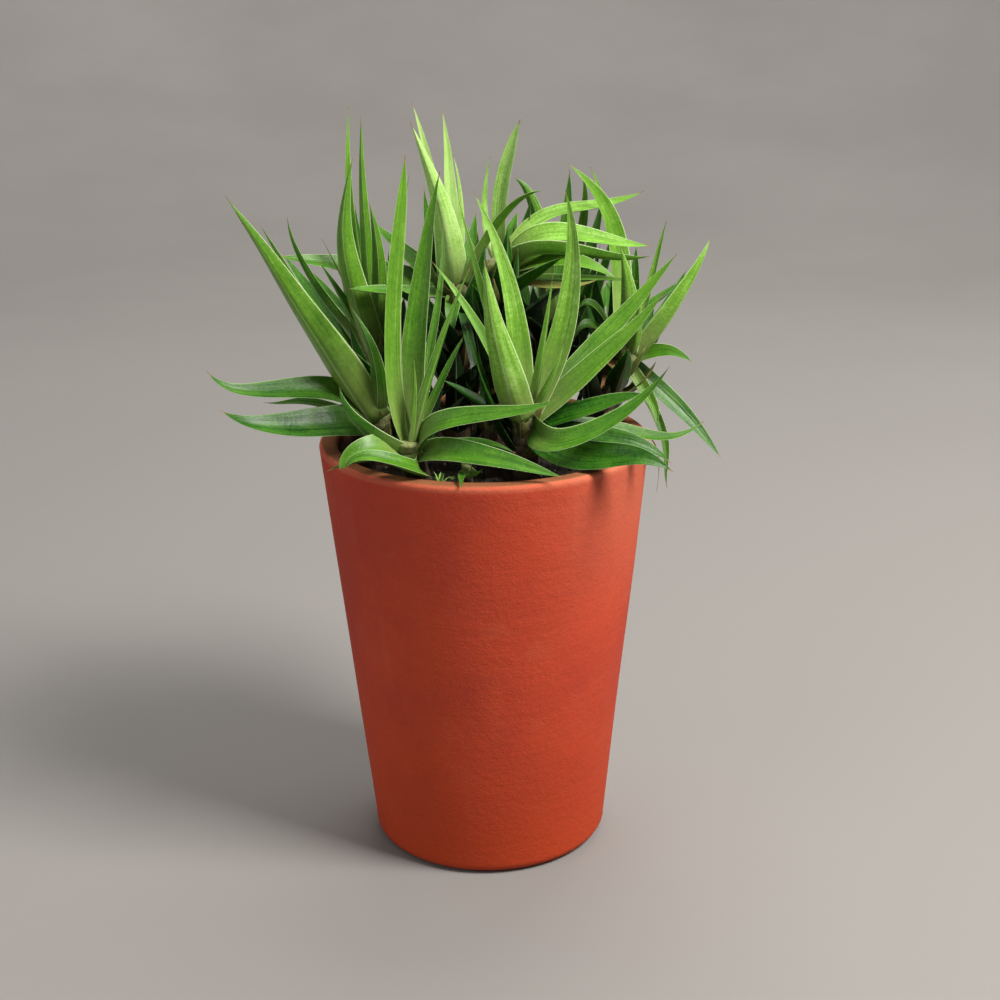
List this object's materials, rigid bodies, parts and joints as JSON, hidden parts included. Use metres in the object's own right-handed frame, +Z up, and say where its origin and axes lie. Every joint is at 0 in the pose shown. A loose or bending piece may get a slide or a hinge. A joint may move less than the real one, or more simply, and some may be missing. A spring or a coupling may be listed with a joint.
{
  "type": "potted haworthia",
  "caption": "Clump of long pointed succulent leaves in crowded rosettes, growing out of soil in a tall tapered clay pot.",
  "frame": {"origin": "middle of the pot's flat underside, on the surface that it stands on", "axes": "+Z up along the pot's axis; +X to the right and -Y to the front, as the picture shows the plant"},
  "size_m": [0.152, 0.1315, 0.2271],
  "materials": {
    "clay": "matt unglazed red clay, fired smooth, mottled lighter and darker, with a dusty rim",
    "soil": "dark crumbly potting soil",
    "leaf_deep_green": "firm satin succulent leaf, deep green with fine pale stripes, thin pale margins and an olive base",
    "leaf_pale_green": "firm satin succulent leaf, lighter yellow-green with fine pale stripes and thin pale margins"
  },
  "bodies": {
    "root": {"pot": "clay", "soil": "soil", "rosette_front": "leaf_deep_green", "rosette_left": "leaf_deep_green", "rosette_centre": "leaf_deep_green", "rosette_inner": "leaf_deep_green", "rosette_right": "leaf_deep_green", "rosette_top": "leaf_pale_green", "rosette_twin": "leaf_pale_green", "rosette_back_left": "leaf_pale_green", "rosette_rear": "leaf_pale_green", "offset": "leaf_deep_green"}
  },
  "joints": []
}
